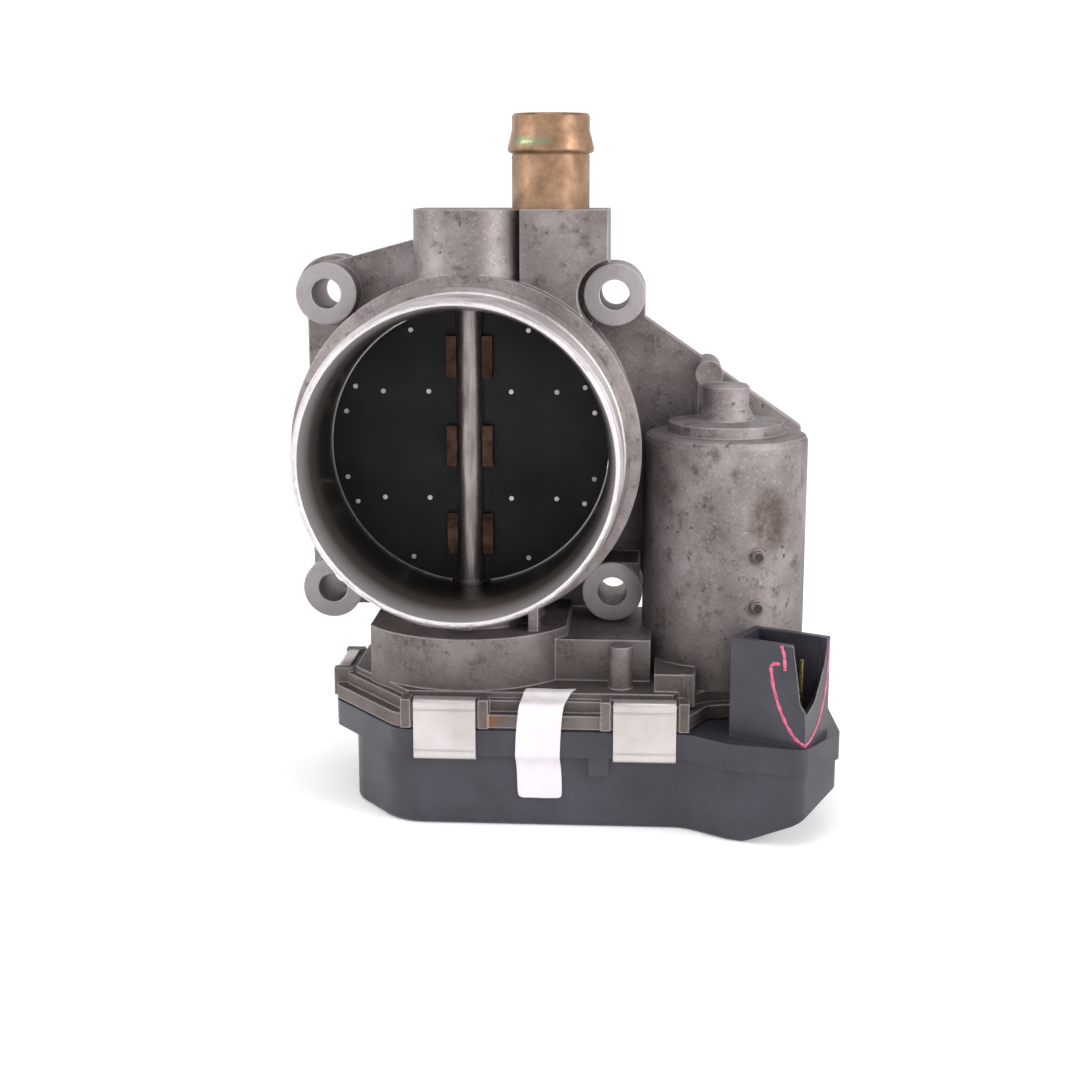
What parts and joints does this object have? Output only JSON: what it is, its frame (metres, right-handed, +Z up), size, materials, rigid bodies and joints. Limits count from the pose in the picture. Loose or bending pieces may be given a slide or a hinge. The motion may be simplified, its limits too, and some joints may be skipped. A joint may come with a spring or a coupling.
{
  "type": "electronic throttle body",
  "caption": "Motor-driven throttle body: cast bore with a turning plate, bolt flange, upright motor housing, gear cover with plug socket, and a brass hose nipple.",
  "frame": {"origin": "on the bore's axis, in the plane of the flange's engine face", "axes": "+X to the right seen from the inlet, +Y along the bore from the inlet to the engine, +Z up along the throttle shaft"},
  "size_m": [0.1254, 0.0716, 0.1566],
  "materials": {
    "cast_aluminium": "sand-blasted casting, oxidised",
    "brass": "dull, tarnished",
    "shaft_steel": "ground",
    "steel": "plain",
    "spring_steel": "bright strip",
    "dark_sheet": "satin black coating",
    "bronze": "dark bronze",
    "copper": "enamelled wire",
    "gold": "gold plated",
    "black_plastic": "moulded, fine grain",
    "gear_plastic": "natural",
    "board": "circuit board",
    "chip": "moulded",
    "rubber": "matte",
    "magnet": "sintered",
    "carbon": "carbon block",
    "label": "blank paper-like film"
  },
  "bodies": {
    "root": {"throttle_housing": "cast_aluminium", "hose_nipple": "brass", "shaft_end_plug": "steel", "upper_shaft_bearing": "steel", "lower_shaft_bearing": "steel", "upper_shaft_seal": "rubber", "lower_shaft_seal": "rubber", "return_spring": "spring_steel", "intermediate_gear_pin": "steel", "motor_can": "steel", "motor_magnets": "magnet", "motor_end_plate": "chip", "motor_brushes": "carbon", "upper_motor_bearing": "bronze", "lower_motor_bearing": "bronze", "motor_screws": "steel", "motor_terminals": "copper", "gear_cover": "black_plastic", "connector_pins": "gold", "sensor_board": "board", "sensor_chips": "chip", "cover_seal": "rubber", "cover_clips": "spring_steel", "seal_label": "label", "flange_seal": "rubber", "stop_screw": "steel"},
    "throttle": {"throttle_shaft": "shaft_steel", "throttle_plate_front": "dark_sheet", "throttle_plate_rear": "dark_sheet", "plate_rivets": "shaft_steel", "shaft_saddles": "bronze", "sector_gear": "gear_plastic", "gear_lock_nut": "steel", "position_magnet": "magnet"},
    "idler": {"intermediate_gear": "gear_plastic"},
    "rotor": {"motor_armature": "steel", "armature_windings": "copper", "commutator": "copper", "motor_shaft": "steel", "motor_pinion": "brass"}
  },
  "joints": [
    {"name": "throttle_turn", "type": "hinge", "parent": "root", "child": "throttle", "pos_m": [0, -0.02, 0], "axis": [0, 0, 1], "range_deg": [0, 85], "stiffness_Nm_per_rad": 0.05, "springref_deg": -17.19},
    {"name": "idler_spin", "type": "hinge", "parent": "root", "child": "idler", "pos_m": [0.03292, -0.01775, -0.066], "axis": [0, 0, 1], "range_deg": [-270, 0]},
    {"name": "motor_spin", "type": "hinge", "parent": "root", "child": "rotor", "pos_m": [0.0587, -0.02, -0.03], "axis": [0, 0, 1], "range_deg": [0, 1270]}
  ],
  "couplings": [
    {"joint": "idler_spin", "follows": "throttle_turn", "ratio": -3.125},
    {"joint": "motor_spin", "follows": "throttle_turn", "ratio": 14.844}
  ]
}
